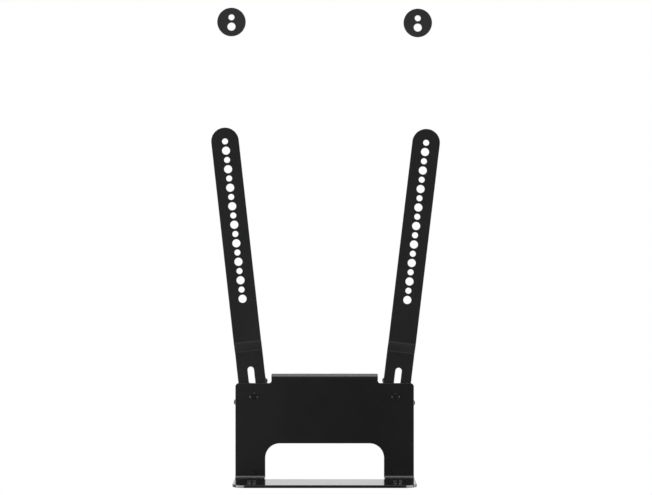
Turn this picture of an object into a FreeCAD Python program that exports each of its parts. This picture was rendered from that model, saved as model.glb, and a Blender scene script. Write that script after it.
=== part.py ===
import FreeCAD, Part
import math
import os

# Bracket that hangs a small soundbar below a screen, in millimetres.
# A folded steel holder carries the shelf. Two cranked, slotted arms stand behind it on press-in
# studs and are clamped by star knobs. Two loose discs pack out the screen's upper fixings.
# X is to the right, Y to the back and Z up. The origin is the middle of the shelf's clear top face.

# Holder sheet
SHEET_T = 3.0
BEND_R = 2.0
HOLDER_W = 192.0
SHOULDER_H = 100.7
SHOULDER_W = 38.75
SHOULDER_R = 4.0
CREST_FOOT_R = 2.5
CREST_STRAIGHT = 2.0
EDGE_ROUND = 0.4

# Top flange, folded to the back, with two tabs on its rear edge
FLANGE_DEPTH = 25.0
FLANGE_TAB_W = 26.0
FLANGE_TAB_GAP = 11.5
FLANGE_TAB_OUT = 3.0
FLANGE_NOTCH = 3.0

# Window between the legs, cut across the lower bend into the shelf
LEG_W = 32.25
WINDOW_H = 35.9
WINDOW_R = 15.5
WINDOW_INTO_SHELF = 24.2
WINDOW_SHELF_R = 1.5

# Shelf, with a screw near each front corner
SHELF_DEPTH = 86.7
SHELF_CORNER_R = 15.0
SCREW_FROM_SIDE = 19.5
SCREW_FROM_FRONT = 29.7

# Press-in studs, placed from the shoulders
STUD_FROM_SIDE = 19.7
STUD_BELOW_SHOULDER = 14.7
STUD_D = 6.0
STUD_ENGAGED = 12.0
STUD_HEAD_LIP = 1.3
STUD_HEAD_T = 1.6
STUD_HEAD_PROUD = 1.0
STUD_HEAD_ROUND = 0.7
STUD_TIP = 0.8

# Arms: drops are measured down from the lowest hole, reaches up from the stud to it
ARM_W = 29.7
ARM_T = 3.0
HOLE_COUNT = 18
HOLE_PITCH = 10.0
SMALL_HOLE_D = 6.5
LARGE_HOLE_D = 8.7
CRANK_DROP = 44.6
CRANK_ANGLE = 30.0
CRANK_BEND_R = 3.0
SLOT_DROP = 77.0
SLOT_TRAVEL = 58.0
SLOT_CLEARANCE = 0.8
ARM_REACH = {"left": 106.0, "right": 104.8}
ARM_LEAN_ANGLE = {"left": 6.375, "right": 6.828}

# Washers, and the slack that a loosened knob leaves on each face of the stack
WASHER_OD = 18.0
WASHER_T = 1.6
WASHER_CLEARANCE = 0.4
STACK_SLACK = 0.15

# Threaded inserts, and the star knobs moulded around them
INSERT_WALL = 1.5
INSERT_COLLAR_LIP = 1.5
INSERT_COLLAR_T = 1.2
INSERT_END_WALL = 1.0
THREAD_CLEARANCE = 0.1
STUD_END_GAP = 1.0
KNOB_D = 46.0
KNOB_LOBES = 5
KNOB_TIP_R = 3.8
KNOB_VALLEY_R = 13.0
KNOB_BACK_WALL = 3.0
KNOB_HEAD_ROUND = 2.2
KNOB_BOSS_WALL = 4.5
KNOB_BOSS_TAPER = 1.2
KNOB_BOSS_L = 3.0
KNOB_TURN_ANGLE = {"left": 56.0, "right": 49.5}

# Shelf screws
SCREW_D = 4.0
SCREW_BELOW_SHEET = 2.0
SCREW_HEAD_D = 8.0
SCREW_HEAD_H = 2.4
SCREW_HEAD_EDGE = 0.5
SCREW_TOP_RIM = 0.55
SCREW_SOCKET_AF = 2.5
SCREW_SOCKET_DEPTH = 1.3
SCREW_TIP = 0.5

# Loose spacer discs, as thick as the arms they level up
DISC_D = 30.6
DISC_OUTSIDE_STUD = 23.7
DISC_H = {"left": 488.5, "right": 487.5}
DISC_EDGE = 0.5

# Widths and heights worked out from the sizes above
WINDOW_W = HOLDER_W - 2.0 * LEG_W
CREST_W = HOLDER_W - 2.0 * SHOULDER_W
CREST_RISE = BEND_R + SHEET_T + CREST_FOOT_R + CREST_STRAIGHT
CREST_H = SHOULDER_H + CREST_RISE
SCREW_SPACING = HOLDER_W - 2.0 * SCREW_FROM_SIDE
STUD_SPACING = HOLDER_W - 2.0 * STUD_FROM_SIDE
STUD_H = SHOULDER_H - STUD_BELOW_SHOULDER
STUD_HEAD_D = STUD_D + 2.0 * STUD_HEAD_LIP
SLOT_W = STUD_D + SLOT_CLEARANCE
DISC_SPACING = STUD_SPACING + 2.0 * DISC_OUTSIDE_STUD

# Depths worked out from the sizes above, from the shelf's front edge to the knobs' backs
SEAT_DEPTH = SHELF_DEPTH - WINDOW_INTO_SHELF
PLATE_Y = WINDOW_INTO_SHELF + SEAT_DEPTH / 2.0
SHELF_FRONT_Y = PLATE_Y - SHELF_DEPTH
FLANGE_REACH = FLANGE_DEPTH + FLANGE_TAB_OUT
ARM_REAR_Y = PLATE_Y + SHEET_T + STACK_SLACK
CRANK_OFFSET = SHEET_T + STACK_SLACK + ARM_T
ARM_FRONT_Y = ARM_REAR_Y - CRANK_OFFSET
WASHER_Y = ARM_REAR_Y + ARM_T + STACK_SLACK
KNOB_Y = WASHER_Y + WASHER_T + STACK_SLACK
STUD_L = KNOB_Y - PLATE_Y + STUD_ENGAGED
INSERT_D = STUD_D + 2.0 * INSERT_WALL
INSERT_L = STUD_ENGAGED + STUD_END_GAP + INSERT_END_WALL
INSERT_COLLAR_D = INSERT_D + 2.0 * INSERT_COLLAR_LIP
KNOB_BOSS_D = INSERT_COLLAR_D + 2.0 * KNOB_BOSS_WALL
KNOB_HEAD_T = INSERT_L + KNOB_BACK_WALL - KNOB_BOSS_L
SCREW_L = SHEET_T + SCREW_BELOW_SHEET
SCREW_TOP_D = SCREW_SOCKET_AF + 2.0 * SCREW_TOP_RIM
SIDE_SIGN = {"left": -1.0, "right": 1.0}

# How far a cutter reaches past a face, and how near counts as equal
PAST = 1.0
SAME_SIZE = 0.001
SQUARE_WITHIN_ANGLE = 25.0


def vec(x, y, z):
    return FreeCAD.Vector(x, y, z)


def stud_place(side):
    return vec(SIDE_SIGN[side] * STUD_SPACING / 2.0, PLATE_Y, STUD_H)


def round_outline(corners):
    """Closed wire in the XZ plane through (x, z, radius) corners, each rounded to its radius."""
    count = len(corners)
    rounded = []
    for i in range(count):
        before = corners[i - 1]
        x, z, radius = corners[i]
        after = corners[(i + 1) % count]
        point = vec(x, 0.0, z)
        to_before = (vec(before[0], 0.0, before[1]) - point).normalize()
        to_after = (vec(after[0], 0.0, after[1]) - point).normalize()
        half = to_before.getAngle(to_after) / 2.0
        setback = radius / math.tan(half)
        inward = (to_before + to_after).normalize()
        middle = point + inward * (radius / math.sin(half) - radius)
        rounded.append((point + to_before * setback, middle, point + to_after * setback))
    edges = []
    for i in range(count):
        start, middle, end = rounded[i]
        following = rounded[(i + 1) % count][0]
        if corners[i][2] > 0.0:
            edges.append(Part.Arc(start, middle, end).toShape())
        if end.distanceToPoint(following) > SAME_SIZE:
            edges.append(Part.LineSegment(end, following).toShape())
    return Part.Wire(edges)


def front_slab(outline, y_from, y_to):
    """Solid with a wire drawn as (x, z) for its outline, from y_from back to y_to."""
    face = Part.Face(outline)
    face.translate(vec(0.0, y_from, 0.0))
    return face.extrude(vec(0.0, y_to - y_from, 0.0))


def plan_slab(outline, z_from, z_to):
    """Solid with a wire drawn as (x, y) for its outline, from z_from up to z_to."""
    laid = outline.copy()
    laid.rotate(vec(0.0, 0.0, 0.0), vec(1.0, 0.0, 0.0), -90.0)
    laid.translate(vec(0.0, 0.0, z_from))
    return Part.Face(laid).extrude(vec(0.0, 0.0, z_to - z_from))


def side_slab(outline, x_from, x_to):
    """Solid with a wire drawn as (y, z) for its outline, from x_from across to x_to."""
    turned = outline.copy()
    turned.rotate(vec(0.0, 0.0, 0.0), vec(0.0, 0.0, 1.0), 90.0)
    turned.translate(vec(x_from, 0.0, 0.0))
    return Part.Face(turned).extrude(vec(x_to - x_from, 0.0, 0.0))


def rod_y(diameter, x, y, z, length):
    return Part.makeCylinder(diameter / 2.0, length, vec(x, y, z), vec(0.0, 1.0, 0.0))


def hole_y(diameter, x, y, z, depth):
    """Cutter for a round hole that starts in the front face at y and goes depth back."""
    return rod_y(diameter, x, y - PAST, z, depth + PAST)


def through_hole_y(diameter, x, y, z, thickness):
    return hole_y(diameter, x, y, z, thickness + PAST)


def rims_at(shape, y):
    """The closed round edges that lie flat at one depth."""
    found = []
    for edge in shape.Edges:
        box = edge.BoundBox
        if edge.isClosed() and abs(box.YMin - y) < SAME_SIZE and abs(box.YMax - y) < SAME_SIZE:
            found.append(edge)
    return found


def is_outline_edge(shape, edge, thickness):
    """True for an edge that runs along a cut outline: not a round hole, not through the sheet."""
    if isinstance(edge.Curve, Part.Circle) and edge.isClosed():
        return False
    if isinstance(edge.Curve, Part.Line) and abs(edge.Length - thickness) < SAME_SIZE:
        return False
    faces = shape.ancestorsOfType(edge, Part.Face)
    if len(faces) < 2:
        return False
    point = edge.valueAt((edge.FirstParameter + edge.LastParameter) / 2.0)
    normals = []
    for face in faces[:2]:
        u, v = face.Surface.parameter(point)
        normals.append(face.normalAt(u, v))
    angle = math.degrees(normals[0].getAngle(normals[1]))
    return abs(angle - 90.0) < SQUARE_WITHIN_ANGLE


def soften(shape, thickness):
    """Round the long edges of a cut sheet as its coating does."""
    edges = [edge for edge in shape.Edges if is_outline_edge(shape, edge, thickness)]
    return shape.makeFillet(EDGE_ROUND, edges)


def folded_strip():
    """Side profile of flange, upright and shelf with both bends, swept across the full width."""
    outer_r = BEND_R + SHEET_T
    back_y = PLATE_Y + SHEET_T
    flange_y = PLATE_Y + FLANGE_REACH
    profile = round_outline([
        (SHELF_FRONT_Y, 0.0, 0.0),
        (PLATE_Y, 0.0, BEND_R),
        (PLATE_Y, CREST_H, outer_r),
        (flange_y, CREST_H, 0.0),
        (flange_y, CREST_H - SHEET_T, 0.0),
        (back_y, CREST_H - SHEET_T, BEND_R),
        (back_y, -SHEET_T, outer_r),
        (SHELF_FRONT_Y, -SHEET_T, 0.0),
    ])
    return side_slab(profile, -HOLDER_W / 2.0, HOLDER_W / 2.0)


def upright_zone():
    """All that lies inside the upright's front outline: shoulders, raised crest and foot."""
    half_w = HOLDER_W / 2.0
    half_crest = CREST_W / 2.0
    foot = -SHEET_T - PAST
    top = CREST_H + PAST
    outline = round_outline([
        (-half_w, foot, 0.0),
        (half_w, foot, 0.0),
        (half_w, SHOULDER_H, SHOULDER_R),
        (half_crest, SHOULDER_H, CREST_FOOT_R),
        (half_crest, top, 0.0),
        (-half_crest, top, 0.0),
        (-half_crest, SHOULDER_H, CREST_FOOT_R),
        (-half_w, SHOULDER_H, SHOULDER_R),
    ])
    return front_slab(outline, SHELF_FRONT_Y - PAST, PLATE_Y + FLANGE_REACH + PAST)


def shelf_corner_cut():
    """What lies outside the shelf's rounded front corners."""
    half_w = HOLDER_W / 2.0
    low = -SHEET_T - PAST
    corner_end_y = SHELF_FRONT_Y + SHELF_CORNER_R
    around = plan_slab(round_outline([
        (-half_w - PAST, corner_end_y, 0.0),
        (-half_w - PAST, SHELF_FRONT_Y - PAST, 0.0),
        (half_w + PAST, SHELF_FRONT_Y - PAST, 0.0),
        (half_w + PAST, corner_end_y, 0.0),
    ]), low, PAST)
    kept = plan_slab(round_outline([
        (-half_w, corner_end_y + PAST, 0.0),
        (-half_w, SHELF_FRONT_Y, SHELF_CORNER_R),
        (half_w, SHELF_FRONT_Y, SHELF_CORNER_R),
        (half_w, corner_end_y + PAST, 0.0),
    ]), low, PAST)
    return around.cut(kept)


def window_cut():
    """The window through the upright, carried over the bend into the shelf."""
    half_w = WINDOW_W / 2.0
    low = -SHEET_T - PAST
    edge_y = PLATE_Y - WINDOW_INTO_SHELF
    bend_y = PLATE_Y - BEND_R
    upright = front_slab(round_outline([
        (-half_w, low, 0.0),
        (half_w, low, 0.0),
        (half_w, WINDOW_H, WINDOW_R),
        (-half_w, WINDOW_H, WINDOW_R),
    ]), bend_y - PAST, PLATE_Y + SHEET_T + PAST)
    shelf = plan_slab(round_outline([
        (-half_w, bend_y, 0.0),
        (-half_w, edge_y, WINDOW_SHELF_R),
        (half_w, edge_y, WINDOW_SHELF_R),
        (half_w, bend_y, 0.0),
    ]), low, PAST)
    return upright.fuse(shelf)


def flange_edge_cuts():
    """What is cut from the rear edge of the top flange to leave two tabs and a notch."""
    half_crest = CREST_W / 2.0
    half_gap = FLANGE_TAB_GAP / 2.0
    low = CREST_H - SHEET_T - PAST
    tall = SHEET_T + 2.0 * PAST
    edge_y = PLATE_Y + FLANGE_DEPTH
    beside_w = half_crest - half_gap - FLANGE_TAB_W
    notch = Part.makeBox(FLANGE_TAB_GAP, FLANGE_NOTCH + FLANGE_TAB_OUT + PAST, tall,
                         vec(-half_gap, edge_y - FLANGE_NOTCH, low))
    left = Part.makeBox(beside_w + PAST, FLANGE_TAB_OUT + PAST, tall,
                        vec(-half_crest - PAST, edge_y, low))
    right = Part.makeBox(beside_w + PAST, FLANGE_TAB_OUT + PAST, tall,
                         vec(half_crest - beside_w, edge_y, low))
    return [notch, left, right]


def stud_seat_cut(side):
    """Stepped hole that the press-in stud's head is set into."""
    place = stud_place(side)
    through = through_hole_y(STUD_D, place.x, place.y, place.z, SHEET_T)
    return through.fuse(hole_y(STUD_HEAD_D, place.x, place.y, place.z, STUD_HEAD_T))


def screw_place(side):
    return vec(SIDE_SIGN[side] * SCREW_SPACING / 2.0, SHELF_FRONT_Y + SCREW_FROM_FRONT, 0.0)


def screw_hole_cut(side):
    place = screw_place(side)
    return Part.makeCylinder(SCREW_D / 2.0, SHEET_T + 2.0 * PAST, place - vec(0.0, 0.0, SHEET_T + PAST))


def holder_plate():
    sheet = folded_strip().common(upright_zone())
    cutters = [shelf_corner_cut(), window_cut()]
    cutters.extend(flange_edge_cuts())
    for side in SIDE_SIGN:
        cutters.append(stud_seat_cut(side))
        cutters.append(screw_hole_cut(side))
    for cutter in cutters:
        sheet = sheet.cut(cutter)
    return soften(sheet.removeSplitter(), SHEET_T)


def lowest_hole_z(side):
    return stud_place(side).z + ARM_REACH[side]


def cranked_bar(side):
    """Square-ended bar: front part up, slanted step back, clamped part down."""
    place = stud_place(side)
    top_z = lowest_hole_z(side) + (HOLE_COUNT - 1) * HOLE_PITCH + ARM_W / 2.0
    bottom_z = lowest_hole_z(side) - SLOT_DROP - SLOT_TRAVEL - ARM_W / 2.0
    half_turn = math.radians(CRANK_ANGLE) / 2.0
    inner_r = CRANK_BEND_R
    outer_r = CRANK_BEND_R + ARM_T
    upper_z = lowest_hole_z(side) - CRANK_DROP - (CRANK_BEND_R + ARM_T / 2.0) * math.tan(half_turn)
    lower_z = upper_z - CRANK_OFFSET / math.tan(math.radians(CRANK_ANGLE))
    shift = ARM_T / 2.0 * math.tan(half_turn)
    profile = round_outline([
        (ARM_FRONT_Y, top_z, 0.0),
        (ARM_FRONT_Y, upper_z - shift, outer_r),
        (ARM_REAR_Y, lower_z - shift, inner_r),
        (ARM_REAR_Y, bottom_z, 0.0),
        (ARM_REAR_Y + ARM_T, bottom_z, 0.0),
        (ARM_REAR_Y + ARM_T, lower_z + shift, outer_r),
        (ARM_FRONT_Y + ARM_T, upper_z + shift, inner_r),
        (ARM_FRONT_Y + ARM_T, top_z, 0.0),
    ])
    ends = [(top_z, ARM_W / 2.0), (bottom_z, ARM_W / 2.0)]
    bar = side_slab(profile, place.x - ARM_W / 2.0, place.x + ARM_W / 2.0)
    return bar.common(stadium(place.x, ends, ARM_FRONT_Y - PAST, ARM_REAR_Y + ARM_T + PAST))


def stadium(x, ends, y_from, y_to):
    """Upright slab with two round ends, each given as (extreme height, radius)."""
    (top_z, top_r), (bottom_z, bottom_r) = ends
    return front_slab(round_outline([
        (x - top_r, top_z, top_r),
        (x + top_r, top_z, top_r),
        (x + bottom_r, bottom_z, bottom_r),
        (x - bottom_r, bottom_z, bottom_r),
    ]), y_from, y_to)


def arm_slot_cut(side):
    top_z = lowest_hole_z(side) - SLOT_DROP
    ends = [(top_z + SLOT_W / 2.0, SLOT_W / 2.0), (top_z - SLOT_TRAVEL - SLOT_W / 2.0, SLOT_W / 2.0)]
    return stadium(stud_place(side).x, ends, ARM_REAR_Y - PAST, ARM_REAR_Y + ARM_T + PAST)


def arm_hole_cuts(side):
    """The row of large and small screw holes by turns, from the lowest hole up."""
    holes = []
    for i in range(HOLE_COUNT):
        diameter = LARGE_HOLE_D if i % 2 == 0 else SMALL_HOLE_D
        z = lowest_hole_z(side) + i * HOLE_PITCH
        holes.append(through_hole_y(diameter, stud_place(side).x, ARM_FRONT_Y, z, ARM_T))
    return Part.makeCompound(holes)


def arm(side):
    """Cranked arm, drawn upright over its stud and then leant outwards by its own angle."""
    bar = cranked_bar(side).cut(arm_slot_cut(side)).cut(arm_hole_cuts(side))
    bar = soften(bar.removeSplitter(), ARM_T)
    bar.rotate(stud_place(side), vec(0.0, 1.0, 0.0), SIDE_SIGN[side] * ARM_LEAN_ANGLE[side])
    return bar


def stud(side):
    """Press-in stud: low head set into the sheet from the front, shank out at the back."""
    place = stud_place(side)
    head_y = place.y - STUD_HEAD_PROUD
    tip_y = place.y + STUD_L
    head = rod_y(STUD_HEAD_D, place.x, head_y, place.z, STUD_HEAD_PROUD + STUD_HEAD_T)
    head = head.makeFillet(STUD_HEAD_ROUND, rims_at(head, head_y))
    shank = rod_y(STUD_D, place.x, place.y, place.z, STUD_L)
    shank = shank.makeChamfer(STUD_TIP, rims_at(shank, tip_y))
    return head.fuse(shank).removeSplitter()


def washer(side):
    place = stud_place(side)
    ring = rod_y(WASHER_OD, place.x, WASHER_Y, place.z, WASHER_T)
    return ring.cut(through_hole_y(STUD_D + WASHER_CLEARANCE, place.x, WASHER_Y, place.z, WASHER_T))


def star_wire():
    """Lobed outline in the XZ plane: round tips joined by hollow valleys, all tangent."""
    step = 2.0 * math.pi / KNOB_LOBES
    half = step / 2.0
    tip_centre = KNOB_D / 2.0 - KNOB_TIP_R
    inner = KNOB_VALLEY_R - KNOB_TIP_R
    valley_centre = (tip_centre ** 2 - inner ** 2) / (2.0 * (tip_centre * math.cos(half) - inner))

    def polar(radius, angle):
        return vec(radius * math.cos(angle), 0.0, radius * math.sin(angle))

    def join(tip_angle, valley_angle):
        tip = polar(tip_centre, tip_angle)
        valley = polar(valley_centre, valley_angle)
        return tip + (valley - tip).normalize() * KNOB_TIP_R

    edges = []
    for i in range(KNOB_LOBES):
        lobe = i * step
        before = join(lobe, lobe - half)
        after = join(lobe, lobe + half)
        following = join(lobe + step, lobe + half)
        edges.append(Part.Arc(before, polar(KNOB_D / 2.0, lobe), after).toShape())
        edges.append(Part.Arc(after, polar(KNOB_VALLEY_R, lobe + half), following).toShape())
    return Part.Wire(edges)


def insert_blank():
    """Outside form of the threaded insert, on the Y axis."""
    barrel = rod_y(INSERT_D, 0.0, KNOB_Y, 0.0, INSERT_L)
    collar = rod_y(INSERT_COLLAR_D, 0.0, KNOB_Y, 0.0, INSERT_COLLAR_T)
    return barrel.fuse(collar).removeSplitter()


def knob(side):
    """Star grip: lobed head with rounded rims over a tapered boss that presses on the washer."""
    place = stud_place(side)
    head = Part.Face(star_wire()).extrude(vec(0.0, KNOB_HEAD_T, 0.0))
    rims = [edge for edge in head.Edges if edge.BoundBox.YLength < SAME_SIZE]
    head = head.makeFillet(KNOB_HEAD_ROUND, rims)
    head.translate(vec(0.0, KNOB_Y + KNOB_BOSS_L, 0.0))
    boss = Part.makeCone(KNOB_BOSS_D / 2.0, KNOB_BOSS_D / 2.0 + KNOB_BOSS_TAPER,
                         KNOB_BOSS_L + KNOB_HEAD_ROUND, vec(0.0, KNOB_Y, 0.0), vec(0.0, 1.0, 0.0))
    body = head.fuse(boss).cut(insert_blank()).removeSplitter()
    body.rotate(vec(0.0, 0.0, 0.0), vec(0.0, 1.0, 0.0), -KNOB_TURN_ANGLE[side])
    body.translate(vec(place.x, 0.0, place.z))
    return body


def knob_insert(side):
    """Blind threaded insert; the thread is left as a plain bore just over the stud's size."""
    place = stud_place(side)
    bore = hole_y(STUD_D + THREAD_CLEARANCE, 0.0, KNOB_Y, 0.0, STUD_ENGAGED + STUD_END_GAP)
    body = insert_blank().cut(bore)
    body.translate(vec(place.x, 0.0, place.z))
    return body


def screw_outline():
    """Half section of the shelf screw in the XZ plane, with its axis on Z."""
    head_r = SCREW_HEAD_D / 2.0
    top_r = SCREW_TOP_D / 2.0
    shank_r = SCREW_D / 2.0
    dome_rise = SCREW_HEAD_H - SCREW_HEAD_EDGE
    centre_below = (head_r ** 2 - top_r ** 2 - dome_rise ** 2) / (2.0 * dome_rise)
    dome_r = math.hypot(head_r, centre_below)
    middle_angle = (math.atan2(centre_below, head_r) + math.atan2(centre_below + dome_rise, top_r)) / 2.0
    middle = vec(dome_r * math.cos(middle_angle), 0.0,
                 SCREW_HEAD_EDGE - centre_below + dome_r * math.sin(middle_angle))
    edge = vec(head_r, 0.0, SCREW_HEAD_EDGE)
    crown = vec(top_r, 0.0, SCREW_HEAD_H)
    points = [
        crown,
        vec(0.0, 0.0, SCREW_HEAD_H),
        vec(0.0, 0.0, -SCREW_L),
        vec(shank_r - SCREW_TIP, 0.0, -SCREW_L),
        vec(shank_r, 0.0, SCREW_TIP - SCREW_L),
        vec(shank_r, 0.0, 0.0),
        vec(head_r, 0.0, 0.0),
        edge,
    ]
    edges = [Part.Arc(edge, middle, crown).toShape()]
    for start, end in zip(points[:-1], points[1:]):
        edges.append(Part.LineSegment(start, end).toShape())
    return Part.Wire(edges)


def hex_socket_cut():
    corner_r = SCREW_SOCKET_AF / 2.0 / math.cos(math.pi / 6.0)
    floor_z = SCREW_HEAD_H - SCREW_SOCKET_DEPTH
    corners = []
    for i in range(6):
        angle = i * math.pi / 3.0
        corners.append(vec(corner_r * math.cos(angle), corner_r * math.sin(angle), floor_z))
    face = Part.Face(Part.makePolygon(corners + corners[:1]))
    return face.extrude(vec(0.0, 0.0, SCREW_SOCKET_DEPTH + PAST))


def shelf_screw(side):
    """Domed socket screw driven down through the shelf."""
    body = Part.Face(screw_outline()).revolve(vec(0.0, 0.0, 0.0), vec(0.0, 0.0, 1.0), 360.0)
    body = body.cut(hex_socket_cut())
    body.translate(screw_place(side))
    return body


def spacer_disc(side):
    """Loose disc with a small and a large screw hole side by side."""
    x = SIDE_SIGN[side] * DISC_SPACING / 2.0
    z = DISC_H[side]
    disc = rod_y(DISC_D, x, ARM_FRONT_Y, z, ARM_T)
    disc = disc.makeFillet(DISC_EDGE, rims_at(disc, ARM_FRONT_Y) + rims_at(disc, ARM_FRONT_Y + ARM_T))
    upper = through_hole_y(SMALL_HOLE_D, x, ARM_FRONT_Y, z + HOLE_PITCH / 2.0, ARM_T)
    lower = through_hole_y(LARGE_HOLE_D, x, ARM_FRONT_Y, z - HOLE_PITCH / 2.0, ARM_T)
    return disc.cut(upper).cut(lower)


def export(shape, node):
    solids = shape.Solids
    if len(solids) == 1:
        shape = solids[0]
    shape.exportStep("parts/" + node + ".step")
    print(node, len(solids), "solid", "valid" if shape.isValid() else "NOT VALID",
          round(shape.Volume / 1000.0, 3), "cm3")


MADE_IN_PAIRS = {
    "arm": arm,
    "stud": stud,
    "washer": washer,
    "knob": knob,
    "knob_insert": knob_insert,
    "shelf_screw": shelf_screw,
    "spacer_disc": spacer_disc,
}

os.makedirs("parts", exist_ok=True)
export(holder_plate(), "holder_plate")
for name, make in MADE_IN_PAIRS.items():
    for side in SIDE_SIGN:
        export(make(side), name + "_" + side)
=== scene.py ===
import math

import bpy
from mathutils import Matrix, Vector


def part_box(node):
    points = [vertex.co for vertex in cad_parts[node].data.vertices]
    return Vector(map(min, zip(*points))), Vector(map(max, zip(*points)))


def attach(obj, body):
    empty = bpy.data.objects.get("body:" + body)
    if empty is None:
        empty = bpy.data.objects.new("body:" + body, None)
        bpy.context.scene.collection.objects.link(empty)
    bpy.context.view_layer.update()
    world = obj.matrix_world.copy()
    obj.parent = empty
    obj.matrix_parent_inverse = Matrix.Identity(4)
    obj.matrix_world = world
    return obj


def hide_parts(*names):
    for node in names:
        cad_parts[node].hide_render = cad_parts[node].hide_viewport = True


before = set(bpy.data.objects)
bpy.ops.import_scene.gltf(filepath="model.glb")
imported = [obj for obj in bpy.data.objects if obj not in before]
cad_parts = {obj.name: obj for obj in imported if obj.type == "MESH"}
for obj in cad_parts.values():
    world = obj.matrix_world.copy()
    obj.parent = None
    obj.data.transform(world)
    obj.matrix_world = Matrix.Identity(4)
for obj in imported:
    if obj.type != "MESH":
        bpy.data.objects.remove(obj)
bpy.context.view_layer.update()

# Folded holder
# One laser-cut steel sheet, 3 mm thick, folded twice: the flange back at the top and the shelf
# forward at the bottom. It is sprayed with black powder, which is baked into an even, glossy skin
# with a fine orange peel.


class Signal:
    """One socket of a node tree; sums, differences and products of signals become Math nodes."""

    def __init__(self, tree, socket):
        self.tree = tree
        self.socket = socket

    def math(self, operation, first, second=0.0, clamp=False):
        settings = {"operation": operation, "use_clamp": clamp}
        return self.tree.node("ShaderNodeMath", settings, {0: first, 1: second})

    def __add__(self, other):
        return self.math("ADD", self, other)

    def __sub__(self, other):
        return self.math("SUBTRACT", self, other)

    def __rsub__(self, other):
        return self.math("SUBTRACT", other, self)

    def __mul__(self, other):
        return self.math("MULTIPLY", self, other)

    __radd__ = __add__
    __rmul__ = __mul__

    def sine(self):
        return self.math("SINE", self)

    def clamped(self):
        return self.math("ADD", self, 0.0, clamp=True)


class Tree:
    """The nodes of one finish, or of the world; node() adds any node and gives one output."""

    def __init__(self, owner):
        owner.use_nodes = True
        self.owner = owner
        self.nodes = owner.node_tree.nodes
        self.links = owner.node_tree.links
        self.nodes.clear()

    def node(self, kind, settings, inputs, output=0):
        made = self.nodes.new(kind)
        for name, value in settings.items():
            setattr(made, name, value)
        for name, value in inputs.items():
            if isinstance(value, Signal):
                self.links.new(value.socket, made.inputs[name])
            else:
                made.inputs[name].default_value = value
        return Signal(self, made.outputs[output])

    def place(self):
        """The point on the piece itself, in metres, so that the finish moves with the piece."""
        return self.node("ShaderNodeTexCoord", {}, {}, "Object")

    def noise(self, size, detail=2.0, roughness=0.5, vector=None):
        inputs = {"Vector": vector or self.place(), "Scale": 1.0 / size, "Detail": detail,
                  "Roughness": roughness}
        return self.node("ShaderNodeTexNoise", {}, inputs, "Fac")

    def blend(self, share, first, second):
        """A colour between two others, by a share from 0 to 1."""
        inputs = {"Factor": share, 6: first, 7: second}
        return self.node("ShaderNodeMix", {"data_type": "RGBA"}, inputs, 2)

    def bump(self, height, depth, strength=1.0):
        inputs = {"Height": height, "Distance": depth, "Strength": strength}
        return self.node("ShaderNodeBump", {}, inputs, "Normal")

    def surface(self, **inputs):
        named = {name.replace("_", " ").title().replace("Ior", "IOR"): value
                 for name, value in inputs.items()}
        shader = self.node("ShaderNodeBsdfPrincipled", {}, named)
        self.node_output(shader)
        return self.owner

    def node_output(self, shader):
        made = self.nodes.new("ShaderNodeOutputMaterial")
        self.links.new(shader.socket, made.inputs["Surface"])


def grey(level, tint=0.0):
    """A colour as light as level, slightly cool for a tint above zero."""
    return (level * (1.0 - tint), level, level * (1.0 + tint), 1.0)


PEEL_SIZE = 0.0011
GRAIN_SIZE = 0.00035
PEEL_SHARE = 0.75
PEEL_DEPTH = 0.00002
CLOUD_SIZE = 0.035
FLECK_SIZE = 0.0024
CLOUD_SHARE = 0.6
CLOUD_DULLING = 0.07
FLECK_DULLING = 0.04
POWDER_SPREAD = 0.18
POWDER_TINT = 0.01
POWDER_IOR = 1.5
SKIN_ROUGHNESS = 0.04


def powder_coat(name, black, roughness, skin):
    """Baked powder: peel a millimetre across, clouds of gloss, and a share of glassy skin on top."""
    tree = Tree(bpy.data.materials.new(name))
    peel = tree.noise(PEEL_SIZE, detail=1.5)
    grains = tree.noise(GRAIN_SIZE, detail=1.0)
    clouds = tree.noise(CLOUD_SIZE, detail=3.0, roughness=0.6)
    flecks = tree.noise(FLECK_SIZE, detail=4.0, roughness=0.7)
    height = peel * PEEL_SHARE + grains * (1.0 - PEEL_SHARE)
    dark = grey(black * (1.0 - POWDER_SPREAD), POWDER_TINT)
    pale = grey(black * (1.0 + POWDER_SPREAD), POWDER_TINT)
    return tree.surface(
        base_color=tree.blend(clouds * CLOUD_SHARE + flecks * (1.0 - CLOUD_SHARE), dark, pale),
        roughness=roughness + CLOUD_DULLING * clouds + FLECK_DULLING * flecks,
        ior=POWDER_IOR,
        coat_weight=skin,
        coat_roughness=SKIN_ROUGHNESS,
        normal=tree.bump(height, PEEL_DEPTH, strength=0.5),
    )


def finish_node(node, material):
    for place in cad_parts[node].material_slots:
        place.material = material


holder_coat = powder_coat("holder_powder_coat", black=0.0108, roughness=0.1, skin=0.22)
finish_node("holder_plate", holder_coat)

# Press-in studs
# Two M6 studs pressed into stepped holes from the front, so that only a low round head shows.
# Cold-formed steel with a rolled thread, plated black. The heads carry faint turning rings.

TURN_STEPS = 48
CREASE_ANGLE = 32.0
STUD_HEAD_R = 0.0043
STUD_HEAD_ROUND = 0.0007
STUD_HEAD_H = 0.0026
STUD_R = 0.003
STUD_PITCH = 0.001
STUD_THREAD_DEPTH = 0.00055
STUD_PLAIN = 0.0035
STUD_TIP = 0.0008
STUD_FACE_SHARE = 0.3
RINGS_PER_TURN = 8
TOOL_MARK_SPACING = 0.00022
TOOL_MARK_DEPTH = 0.000006
STAIN_SIZE = 0.0016
STAIN_SPREAD = 0.2
STAIN_DULLING = 0.1


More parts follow.
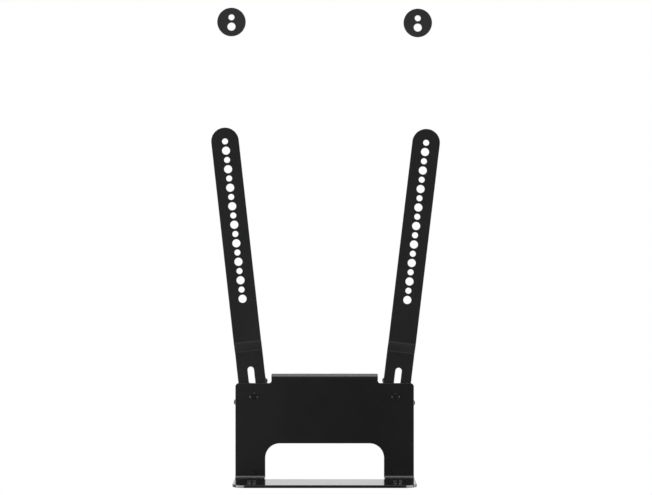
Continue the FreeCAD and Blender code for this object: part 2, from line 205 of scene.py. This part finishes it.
class Ring:
    """One ring of a turned piece: how far along the axis, its radius and what is cut into it."""

    def __init__(self, along, radius, thread=0.0, hexagon=False, knurl=0.0):
        self.along = along
        self.radius = radius
        self.thread = thread
        self.hexagon = hexagon
        self.knurl = knurl

    def reach(self, angle, pitch, teeth):
        if self.hexagon:
            sixth = math.pi / 3.0
            return self.radius / math.cos((angle + sixth / 2.0) % sixth - sixth / 2.0)
        turn = (self.along / pitch - angle / (2.0 * math.pi)) % 1.0
        ridge = abs(2.0 * turn - 1.0)
        tooth = abs(2.0 * ((angle * teeth / (2.0 * math.pi)) % 1.0) - 1.0)
        return self.radius - self.thread * ridge - self.knurl * tooth


def rounded_corner(along, radius, size, start, end, steps=5):
    """Rings round a quarter turn about (along, radius), from one angle to another in degrees."""
    rings = []
    for i in range(steps + 1):
        angle = math.radians(start + (end - start) * i / steps)
        rings.append(Ring(along + size * math.sin(angle), radius + size * math.cos(angle)))
    return rings


def threaded(start, end, radius, pitch, depth):
    """Rings of a screw thread that fades in and out over half a turn at each end."""
    count = max(2, round((end - start) / pitch * RINGS_PER_TURN))
    rings = []
    for i in range(count + 1):
        along = start + (end - start) * i / count
        fade = min(1.0, 2.0 * min(along - start, end - along) / pitch)
        rings.append(Ring(along, radius, thread=depth * fade))
    return rings


def turned(name, rings, place, pitch=1.0, teeth=1, looped=False, steps=TURN_STEPS):
    """Mesh piece from rings round a local Z axis, put in place by a matrix."""
    points = []
    for ring in rings:
        for k in range(steps):
            angle = 2.0 * math.pi * k / steps
            reach = ring.reach(angle, pitch, teeth)
            points.append(place @ Vector((reach * math.cos(angle), reach * math.sin(angle), ring.along)))
    faces = []
    last = len(rings) if looped else len(rings) - 1
    for i in range(last):
        low = i * steps
        high = (i + 1) % len(rings) * steps
        for k in range(steps):
            after = (k + 1) % steps
            faces.append((low + k, low + after, high + after, high + k))
    if not looped:
        faces.append(tuple(reversed(range(steps))))
        faces.append(tuple(range((len(rings) - 1) * steps, len(rings) * steps)))
    mesh = bpy.data.meshes.new(name)
    mesh.from_pydata(points, [], faces)
    mesh.validate()
    mesh.shade_smooth()
    mesh.set_sharp_from_angle(angle=math.radians(CREASE_ANGLE))
    piece = bpy.data.objects.new(name, mesh)
    bpy.context.scene.collection.objects.link(piece)
    return piece


def pointing_back(node):
    """Matrix that turns local Z to +Y and starts at the front of a CAD node, on its axis."""
    low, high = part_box(node)
    centre = (low + high) / 2.0
    return Matrix.Translation((centre.x, low.y, centre.z)) @ Matrix.Rotation(-math.pi / 2.0, 4, "X")


def turning_rings(tree, node, spacing):
    """Height of fine tool marks round the Y axis through the middle of a CAD node."""
    low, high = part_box(node)
    centre = (low + high) / 2.0
    inputs = {0: tree.place(), 1: (centre.x, 0.0, centre.z)}
    arm = tree.node("ShaderNodeVectorMath", {"operation": "SUBTRACT"}, inputs)
    flat = tree.node("ShaderNodeVectorMath", {"operation": "MULTIPLY"}, {0: arm, 1: (1.0, 0.0, 1.0)})
    radius = tree.node("ShaderNodeVectorMath", {"operation": "LENGTH"}, {0: flat}, "Value")
    return (radius * (2.0 * math.pi / spacing)).sine() * 0.5 + 0.5


def plated_steel(name, node, level, roughness, metallic, tint):
    """Plating over turned or punched steel: tool marks round the axis and small cloudy stains."""
    tree = Tree(bpy.data.materials.new(name))
    marks = turning_rings(tree, node, TOOL_MARK_SPACING)
    stains = tree.noise(STAIN_SIZE, detail=3.0, roughness=0.6)
    dark = grey(level * (1.0 - STAIN_SPREAD), tint)
    pale = grey(level * (1.0 + STAIN_SPREAD), tint)
    return tree.surface(
        base_color=tree.blend(stains, dark, pale),
        metallic=metallic,
        roughness=roughness + STAIN_DULLING * stains,
        normal=tree.bump(marks, TOOL_MARK_DEPTH, strength=0.6),
    )


def make_stud(side):
    node = "stud_" + side
    low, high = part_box(node)
    length = high.y - low.y
    rings = [Ring(0.0, STUD_HEAD_R * STUD_FACE_SHARE)]
    rings += rounded_corner(STUD_HEAD_ROUND, STUD_HEAD_R - STUD_HEAD_ROUND, STUD_HEAD_ROUND, -90.0, 0.0)
    rings += [Ring(STUD_HEAD_H, STUD_HEAD_R), Ring(STUD_HEAD_H, STUD_R)]
    rings += threaded(STUD_PLAIN, length - STUD_TIP, STUD_R, STUD_PITCH, STUD_THREAD_DEPTH)
    rings += [Ring(length, STUD_R - STUD_TIP)]
    stud = turned("threaded_stud_" + side, rings, pointing_back(node), pitch=STUD_PITCH)
    plating = plated_steel("black_plated_stud_" + side, node, level=0.007, roughness=0.14, metallic=0.0,
                           tint=0.0)
    stud.data.materials.append(plating)
    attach(stud, "holder")
    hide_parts(node)


for side in ("left", "right"):
    make_stud(side)

# Washers
# Plain M6 washers between the arms and the knobs, punched from sheet: rolled over on the face
# where the punch went in and crisp on the other. Bright zinc with a faintly blue passivation.

WASHER_R = 0.009
WASHER_BORE_R = 0.0032
WASHER_ROLL = 0.00035
WASHER_CRISP = 0.00008
WASHER_STEPS = 72


def make_washer(side):
    node = "washer_" + side
    low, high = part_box(node)
    thick = high.y - low.y
    rings = rounded_corner(WASHER_ROLL, WASHER_BORE_R + WASHER_ROLL, WASHER_ROLL, -180.0, -90.0)
    rings += rounded_corner(WASHER_ROLL, WASHER_R - WASHER_ROLL, WASHER_ROLL, -90.0, 0.0)
    rings += rounded_corner(thick - WASHER_CRISP, WASHER_R - WASHER_CRISP, WASHER_CRISP, 0.0, 90.0, 2)
    rings += rounded_corner(thick - WASHER_CRISP, WASHER_BORE_R + WASHER_CRISP, WASHER_CRISP, 90.0, 180.0, 2)
    washer = turned("punched_washer_" + side, rings, pointing_back(node), looped=True,
                    steps=WASHER_STEPS)
    zinc = plated_steel("bright_zinc_" + side, node, level=0.62, roughness=0.28, metallic=1.0, tint=0.02)
    washer.data.materials.append(zinc)
    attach(washer, "washer_" + side)
    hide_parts(node)


for side in ("left", "right"):
    make_washer(side)

# Arms
# Flat steel bars with a round top, a row of punched holes and a long slot, cranked once so that
# the slotted end lies behind the holder. They carry the same powder, baked a little duller.

arm_coat = powder_coat("arm_powder_coat", black=0.011, roughness=0.2, skin=0.0)
finish_node("arm_left", arm_coat)
finish_node("arm_right", arm_coat)

# Star knobs
# Five-lobed grips of black glass-filled nylon, moulded round their inserts. The mould was spark
# eroded, so the skin has an even fine grain, with faint clouds where the nylon flowed.

PITS_PER_METRE = 2600.0
NYLON_GRAIN_SIZE = 0.0006
NYLON_GRAIN_DEPTH = 0.00003
FLOW_SIZE = 0.012
FLOW_SHARE = 0.7
NYLON_SPREAD = 0.15
NYLON_ROUGHNESS = 0.42
NYLON_GRAIN_DULLING = 0.1
FLOW_DULLING = 0.05
NYLON_IOR = 1.53


def moulded_nylon(name, black):
    """Black nylon out of a spark-eroded mould: pits, fine grain and flow clouds."""
    tree = Tree(bpy.data.materials.new(name))
    pits = tree.node("ShaderNodeTexVoronoi", {"feature": "F1"},
                     {"Vector": tree.place(), "Scale": PITS_PER_METRE, "Randomness": 1.0}, "Distance")
    grain = tree.noise(NYLON_GRAIN_SIZE, detail=3.0, roughness=0.65)
    flow = tree.noise(FLOW_SIZE, detail=2.0)
    dark = grey(black * (1.0 - NYLON_SPREAD))
    pale = grey(black * (1.0 + NYLON_SPREAD))
    return tree.surface(
        base_color=tree.blend(flow * FLOW_SHARE + grain * (1.0 - FLOW_SHARE), dark, pale),
        roughness=NYLON_ROUGHNESS + NYLON_GRAIN_DULLING * grain + FLOW_DULLING * flow,
        ior=NYLON_IOR,
        normal=tree.bump(pits * 0.5 + grain * 0.5, NYLON_GRAIN_DEPTH, strength=0.6),
    )


knob_nylon = moulded_nylon("moulded_black_nylon", black=0.013)
finish_node("knob_left", knob_nylon)
finish_node("knob_right", knob_nylon)

# Knob inserts
# Blind brass nuts moulded into the knobs: a collar that bears on the washer, a knurled barrel
# that keeps them from turning in the nylon, and an M6 thread inside.

INSERT_COLLAR_R = 0.006
INSERT_COLLAR_T = 0.0012
INSERT_R = 0.0045
INSERT_KNURL = 0.00016
INSERT_TEETH = 24
INSERT_BORE_R = 0.00305
INSERT_MOUTH = 0.0005
INSERT_END_WALL = 0.001
INSERT_EDGE = 0.00015
INSERT_THREAD_DEPTH = 0.0003
INSERT_FLOOR_SHARE = 0.4
INSERT_STEPS = 96
INSERT_MARK_SPACING = 0.00018
TARNISH_SIZE = 0.0022
TARNISHED_BRASS = (0.62, 0.41, 0.16, 1.0)
CLEAN_BRASS = (0.78, 0.58, 0.27, 1.0)
BRASS_ROUGHNESS = 0.26
TARNISH_DULLING = 0.12


def turned_brass(name, node):
    """Brass off the lathe: tool marks round the axis and a cloudy tarnish."""
    tree = Tree(bpy.data.materials.new(name))
    marks = turning_rings(tree, node, INSERT_MARK_SPACING)
    tarnish = tree.noise(TARNISH_SIZE, detail=3.0)
    return tree.surface(
        base_color=tree.blend(tarnish, TARNISHED_BRASS, CLEAN_BRASS),
        metallic=1.0,
        roughness=BRASS_ROUGHNESS + TARNISH_DULLING * tarnish,
        normal=tree.bump(marks, TOOL_MARK_DEPTH, strength=0.5),
    )


def make_insert(side):
    node = "knob_insert_" + side
    low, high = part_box(node)
    length = high.y - low.y
    floor = length - INSERT_END_WALL
    rings = [Ring(floor, INSERT_BORE_R * INSERT_FLOOR_SHARE), Ring(floor, INSERT_BORE_R)]
    rings += reversed(threaded(INSERT_MOUTH, floor - INSERT_MOUTH, INSERT_BORE_R, STUD_PITCH,
                               -INSERT_THREAD_DEPTH))
    rings += [Ring(0.0, INSERT_BORE_R + INSERT_MOUTH), Ring(0.0, INSERT_COLLAR_R - INSERT_EDGE)]
    rings += [Ring(INSERT_EDGE, INSERT_COLLAR_R), Ring(INSERT_COLLAR_T, INSERT_COLLAR_R)]
    rings += [Ring(INSERT_COLLAR_T, INSERT_R), Ring(INSERT_COLLAR_T + INSERT_EDGE, INSERT_R)]
    rings += [Ring(INSERT_COLLAR_T + 2.0 * INSERT_EDGE, INSERT_R, knurl=INSERT_KNURL)]
    rings += [Ring(length - 2.0 * INSERT_EDGE, INSERT_R, knurl=INSERT_KNURL)]
    rings += [Ring(length, INSERT_R - 2.0 * INSERT_EDGE)]
    insert = turned("knurled_insert_" + side, rings, pointing_back(node), pitch=STUD_PITCH,
                    teeth=INSERT_TEETH, steps=INSERT_STEPS)
    insert.data.materials.append(turned_brass("turned_brass_" + side, node))
    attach(insert, "knob_" + side)
    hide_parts(node)


for side in ("left", "right"):
    make_insert(side)

# Shelf screws
# M4 socket screws with domed heads, screwed down into tapped holes near the shelf's front
# corners. Steel, black oxide, and their tips stand out below the shelf.

SCREW_PITCH = 0.0007
SCREW_R = 0.002
SCREW_THREAD_DEPTH = 0.00038
SCREW_TIP = 0.0005
SCREW_HEAD_R = 0.004
SCREW_HEAD_H = 0.0024
SCREW_HEAD_EDGE = 0.002
SCREW_EDGE_ROUND = 0.00015
SCREW_TOP_R = 0.0018
SCREW_SOCKET_HALF_AF = 0.00125
SCREW_SOCKET_DEPTH = 0.0013
OXIDE_GRAIN_SIZE = 0.0004
OXIDE_GRAIN_DEPTH = 0.000012
OXIDE_STAIN_SIZE = 0.0025
OXIDE_DARK = 0.02
OXIDE_PALE = 0.034
OXIDE_ROUGHNESS = 0.16
OXIDE_DULLING = 0.12


def dome(rise, base_r, top_r, start, steps=8):
    """Rings up a ball-shaped head, from its edge to the flat round its socket."""
    below = (base_r ** 2 - top_r ** 2 - rise ** 2) / (2.0 * rise)
    ball_r = math.hypot(base_r, below)
    first = math.atan2(below, base_r)
    last = math.atan2(below + rise, top_r)
    rings = []
    for i in range(steps + 1):
        angle = first + (last - first) * i / steps
        rings.append(Ring(start - below + ball_r * math.sin(angle), ball_r * math.cos(angle)))
    return rings


def black_oxide(name):
    """Blackened steel with the fine grain of the bath and a few cloudy stains."""
    tree = Tree(bpy.data.materials.new(name))
    grain = tree.noise(OXIDE_GRAIN_SIZE, detail=3.0, roughness=0.6)
    stains = tree.noise(OXIDE_STAIN_SIZE, detail=2.0)
    return tree.surface(
        base_color=tree.blend(stains, grey(OXIDE_DARK), grey(OXIDE_PALE)),
        metallic=0.5,
        roughness=OXIDE_ROUGHNESS + OXIDE_DULLING * grain,
        normal=tree.bump(grain, OXIDE_GRAIN_DEPTH, strength=0.5),
    )


def make_shelf_screw(side, oxide):
    node = "shelf_screw_" + side
    low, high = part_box(node)
    centre = (low + high) / 2.0
    seat = high.z - SCREW_HEAD_H
    length = seat - low.z
    rings = [Ring(-length, SCREW_R - SCREW_TIP)]
    rings += threaded(SCREW_TIP - length, -SCREW_PITCH / 2.0, SCREW_R, SCREW_PITCH, SCREW_THREAD_DEPTH)
    rings += [Ring(0.0, SCREW_R), Ring(0.0, SCREW_HEAD_R - SCREW_EDGE_ROUND)]
    rings += rounded_corner(SCREW_EDGE_ROUND, SCREW_HEAD_R - SCREW_EDGE_ROUND, SCREW_EDGE_ROUND,
                            -60.0, 0.0, 3)
    rings += dome(SCREW_HEAD_H - SCREW_HEAD_EDGE, SCREW_HEAD_R, SCREW_TOP_R, SCREW_HEAD_EDGE)
    floor = SCREW_HEAD_H - SCREW_SOCKET_DEPTH
    rings += [Ring(SCREW_HEAD_H, SCREW_SOCKET_HALF_AF, hexagon=True)]
    rings += [Ring(floor, SCREW_SOCKET_HALF_AF, hexagon=True)]
    screw = turned("socket_screw_" + side, rings, Matrix.Translation((centre.x, centre.y, seat)),
                   pitch=SCREW_PITCH)
    screw.data.materials.append(oxide)
    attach(screw, "holder")
    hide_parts(node)


screw_oxide = black_oxide("black_oxide_screw")
for side in ("left", "right"):
    make_shelf_screw(side, screw_oxide)

# Spacer discs
# Two loose discs as thick as the arms, which level up the screen's upper fixings. Steel blanks
# with two punched holes, tumbled before the same powder was baked on a little thinner.

disc_coat = powder_coat("disc_powder_coat", black=0.023, roughness=0.24, skin=0.0)
finish_node("spacer_disc_left", disc_coat)
finish_node("spacer_disc_right", disc_coat)

# Floor and backdrop
# A pale studio floor below the hung bracket and a white paper backdrop far behind it.

FLOOR_Z = -1.4
FLOOR_HALF_W = 6.0
FLOOR_FRONT_Y = -4.0
BACKDROP_Y = 3.2
BACKDROP_TOP_Z = 2.4
PAPER_GREY = 0.8
FLOOR_DARK = 0.8
FLOOR_PALE = 0.84
MOTTLE_SIZE = 0.4
FLOOR_GLOW = 0.7


def flat_panel(name, corners, material):
    mesh = bpy.data.meshes.new(name)
    mesh.from_pydata(corners, [], [(0, 1, 2, 3)])
    panel = bpy.data.objects.new(name, mesh)
    bpy.context.scene.collection.objects.link(panel)
    panel.data.materials.append(material)
    return panel


def seen_directly(tree):
    """1 for rays from the camera and for mirrored or refracted rays, else 0."""
    rays = [tree.node("ShaderNodeLightPath", {}, {}, name)
            for name in ("Is Camera Ray", "Is Glossy Ray", "Is Transmission Ray")]
    return (rays[0] + rays[1] + rays[2]).clamped()


def backdrop_paper():
    tree = Tree(bpy.data.materials.new("backdrop_paper"))
    white = tree.node("ShaderNodeEmission", {}, {"Color": grey(1.0), "Strength": 1.0})
    paper = tree.node("ShaderNodeBsdfDiffuse", {}, {"Color": grey(PAPER_GREY)})
    tree.node_output(tree.node("ShaderNodeMixShader", {}, {0: seen_directly(tree), 1: paper, 2: white}))
    return tree.owner


def floor_paint():
    """Mottled pale paint that still takes shadows, lifted towards white for the camera alone."""
    tree = Tree(bpy.data.materials.new("pale_floor"))
    colour = tree.blend(tree.noise(MOTTLE_SIZE), grey(FLOOR_DARK), grey(FLOOR_PALE))
    paint = tree.node("ShaderNodeBsdfDiffuse", {}, {"Color": colour})
    glow = tree.node("ShaderNodeEmission", {}, {"Color": grey(1.0), "Strength": 1.0})
    seen = tree.node("ShaderNodeLightPath", {}, {}, "Is Camera Ray")
    tree.node_output(tree.node("ShaderNodeMixShader", {}, {0: seen * FLOOR_GLOW, 1: paint, 2: glow}))
    return tree.owner


rear_left = (-FLOOR_HALF_W, BACKDROP_Y, FLOOR_Z)
rear_right = (FLOOR_HALF_W, BACKDROP_Y, FLOOR_Z)
flat_panel("studio_floor", [(-FLOOR_HALF_W, FLOOR_FRONT_Y, FLOOR_Z), (FLOOR_HALF_W, FLOOR_FRONT_Y, FLOOR_Z),
                            rear_right, rear_left], floor_paint())
flat_panel("studio_backdrop", [rear_left, rear_right, (FLOOR_HALF_W, BACKDROP_Y, BACKDROP_TOP_Z),
                               (-FLOOR_HALF_W, BACKDROP_Y, BACKDROP_TOP_Z)], backdrop_paper())

# Studio light
# Large soft boxes overhead and at both sides, a small one to the right and behind, and a dim even
# surround. The studio's front is left dark, so that the black coat stays black to the camera.

LIT_MIDDLE = Vector((0.0, 0.03, 0.2))
SURROUND_LEVEL = 0.14
WEAVE_SIZE = 0.01
CLOTH_DARK = 0.01
CLOTH_PALE = 0.02
CLOTH_ROUGHNESS = 0.9


def soft_box(name, place, width, height, radiance):
    """Rectangular lamp that faces the middle of the bracket and that the camera doesn't see."""
    light = bpy.data.lights.new(name, "AREA")
    light.shape = "RECTANGLE"
    light.size = width
    light.size_y = height
    light.energy = radiance * math.pi * width * height
    lamp = bpy.data.objects.new(name, light)
    bpy.context.scene.collection.objects.link(lamp)
    lamp.location = place
    lamp.rotation_euler = (LIT_MIDDLE - Vector(place)).to_track_quat("-Z", "Y").to_euler()
    lamp.visible_camera = False


soft_box("overhead_box", place=(0.0, -0.28, 2.0), width=1.6, height=0.95, radiance=4.5)
soft_box("left_box", place=(-1.9, -1.1, -0.12), width=3.2, height=0.8, radiance=6.0)
soft_box("right_box", place=(1.9, -1.1, -0.12), width=2.4, height=0.8, radiance=6.0)
soft_box("right_rear_box", place=(2.1, 0.7, -0.12), width=0.8, height=0.8, radiance=4.0)


def studio_surround(level):
    """White where the camera looks past the backdrop, and a dim grey for everything else."""
    world = bpy.data.worlds.new("studio_surround")
    bpy.context.scene.world = world
    tree = Tree(world)
    camera_ray = tree.node("ShaderNodeLightPath", {}, {}, "Is Camera Ray")
    strength = camera_ray + (1.0 - camera_ray) * level
    shader = tree.node("ShaderNodeBackground", {}, {"Color": grey(1.0), "Strength": strength})
    made = tree.nodes.new("ShaderNodeOutputWorld")
    tree.links.new(shader.socket, made.inputs["Surface"])


def black_flag(name, left, right, low, high, distance):
    """Black cloth beside the camera, which keeps the studio's front out of the flat faces."""
    tree = Tree(bpy.data.materials.new(name + "_cloth"))
    weave = tree.noise(WEAVE_SIZE)
    colour = tree.blend(weave, grey(CLOTH_DARK), grey(CLOTH_PALE))
    cloth = tree.surface(base_color=colour, roughness=CLOTH_ROUGHNESS)
    flag = flat_panel(name, [(left, distance, low), (right, distance, low), (right, distance, high),
                             (left, distance, high)], cloth)
    flag.visible_camera = False
    flag.visible_diffuse = False
    flag.visible_shadow = False


black_flag("camera_flag", left=-0.09, right=0.24, low=-0.6, high=0.08, distance=-2.3)
studio_surround(SURROUND_LEVEL)
bpy.context.scene.view_settings.view_transform = "Standard"

# Camera
# Level and square on, a little above the shelf, so that the shelf is seen almost edge on.

PHOTO_W = 652.0
PHOTO_H = 495.0
SENSOR_W = 36.0
FOCAL_PX = 2047.3
AXIS_PX = (324.62, 272.1)
CAMERA_PLACE = (0.0, -2.14455, 0.22)

camera_data = bpy.data.cameras.new("studio_camera")
camera_data.sensor_fit = "HORIZONTAL"
camera_data.sensor_width = SENSOR_W
camera_data.lens = FOCAL_PX * SENSOR_W / PHOTO_W
camera_data.shift_x = (PHOTO_W / 2.0 - AXIS_PX[0]) / PHOTO_W
camera_data.shift_y = (AXIS_PX[1] - PHOTO_H / 2.0) / PHOTO_W
camera = bpy.data.objects.new("studio_camera", camera_data)
bpy.context.scene.collection.objects.link(camera)
camera.location = CAMERA_PLACE
camera.rotation_euler = (math.pi / 2.0, 0.0, 0.0)
bpy.context.scene.camera = camera
